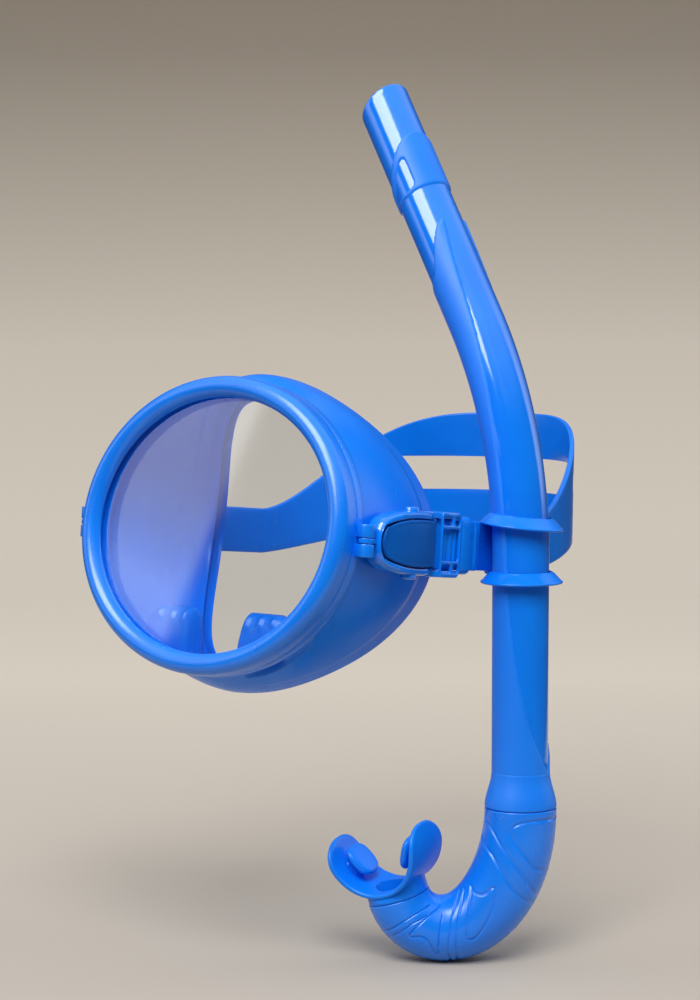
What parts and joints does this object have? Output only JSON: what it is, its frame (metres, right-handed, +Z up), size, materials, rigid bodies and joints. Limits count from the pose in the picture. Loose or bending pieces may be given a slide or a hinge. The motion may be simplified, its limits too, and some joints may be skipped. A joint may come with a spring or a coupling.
{
  "type": "snorkel mask",
  "caption": "Diving mask with an oval lens, soft skirt, quick-release buckles and head strap, carrying a bent snorkel with a J elbow and mouthpiece.",
  "frame": {"origin": "middle of the face seal, where the wearer's head holds the mask", "axes": "+Z up along the snorkel's lower tube, -Y forwards out of the lens, +X to the wearer's left, the snorkel's side"},
  "size_m": [0.2054, 0.2473, 0.3982],
  "materials": {
    "lens_glass": "clear tempered glass",
    "bezel_plastic": "satin bright blue",
    "skirt_silicone": "matte bright blue silicone",
    "strap_silicone": "matte blue silicone",
    "keeper_silicone": "matte bright blue silicone",
    "tube_plastic": "polished bright blue",
    "sleeve_soft": "soft matte bright blue",
    "elbow_silicone": "satin bright blue silicone",
    "buckle_plastic": "polished bright blue",
    "pad_plastic": "matte blue",
    "steel": "stainless"
  },
  "bodies": {
    "mask": {"lens": "lens_glass", "lens_gasket": "skirt_silicone", "bezel": "bezel_plastic", "frame": "bezel_plastic", "skirt": "skirt_silicone", "face_seal": "skirt_silicone", "head_strap": "strap_silicone", "left_hinge_pin": "steel", "right_hinge_pin": "steel"},
    "left_buckle": {"left_buckle_body": "buckle_plastic", "left_lever_pin": "steel", "left_lever_spring": "steel", "left_strap_bar": "steel", "left_strap_tail": "strap_silicone"},
    "left_lever": {"left_lever": "pad_plastic"},
    "left_strap_loop": {"left_strap_loop": "strap_silicone"},
    "right_buckle": {"right_buckle_body": "buckle_plastic", "right_lever_pin": "steel", "right_lever_spring": "steel", "right_strap_bar": "steel", "right_strap_tail": "strap_silicone"},
    "right_lever": {"right_lever": "pad_plastic"},
    "right_strap_loop": {"right_strap_loop": "strap_silicone"},
    "keeper": {"snorkel_keeper": "keeper_silicone"},
    "snorkel": {"barrel": "tube_plastic", "barrel_sleeve": "sleeve_soft", "top_band": "sleeve_soft"},
    "elbow": {"elbow": "elbow_silicone"},
    "mouthpiece": {"mouthpiece": "elbow_silicone"}
  },
  "joints": [
    {"name": "left_buckle_hinge", "type": "hinge", "parent": "mask", "child": "left_buckle", "pos_m": [0.082, -0.03948, -0.00296], "axis": [0, -0.0958, -0.9954], "range_deg": [-3, 8]},
    {"name": "left_lever_press", "type": "hinge", "parent": "left_buckle", "child": "left_lever", "pos_m": [0.0846, -0.0126, -0.00555], "axis": [0, -0.0958, -0.9954], "range_deg": [0, 6], "stiffness_Nm_per_rad": 0.15, "springref_deg": -2.86},
    {"name": "left_strap_loop_slide", "type": "slide", "parent": "left_buckle", "child": "left_strap_loop", "axis": [0, 0.9954, -0.0958], "range_m": [-0.0005, 0.0075]},
    {"name": "right_buckle_hinge", "type": "hinge", "parent": "mask", "child": "right_buckle", "pos_m": [-0.082, -0.03948, -0.00296], "axis": [0, 0.0958, 0.9954], "range_deg": [-3, 8]},
    {"name": "right_lever_press", "type": "hinge", "parent": "right_buckle", "child": "right_lever", "pos_m": [-0.0846, -0.0126, -0.00555], "axis": [0, 0.0958, 0.9954], "range_deg": [0, 6], "stiffness_Nm_per_rad": 0.15, "springref_deg": -2.86},
    {"name": "right_strap_loop_slide", "type": "slide", "parent": "right_buckle", "child": "right_strap_loop", "axis": [0, 0.9954, -0.0958], "range_m": [-0.0005, 0.0075]},
    {"name": "keeper_slide", "type": "slide", "parent": "mask", "child": "keeper", "axis": [0, 0.9954, -0.0958], "range_m": [-0.001, 0.014]},
    {"name": "snorkel_turn", "type": "hinge", "parent": "keeper", "child": "snorkel", "pos_m": [0.097, 0.053, -0.01187], "axis": [0, 0, 1], "range_deg": [-25, 25]},
    {"name": "elbow_swivel", "type": "hinge", "parent": "snorkel", "child": "elbow", "pos_m": [0.097, 0.053, -0.128], "axis": [0, 0, 1], "range_deg": [-30, 30]},
    {"name": "mouthpiece_turn", "type": "hinge", "parent": "elbow", "child": "mouthpiece", "pos_m": [0.05457, 0.01864, -0.16879], "axis": [-0.2272, -0.184, 0.9563], "range_deg": [-20, 20]}
  ]
}
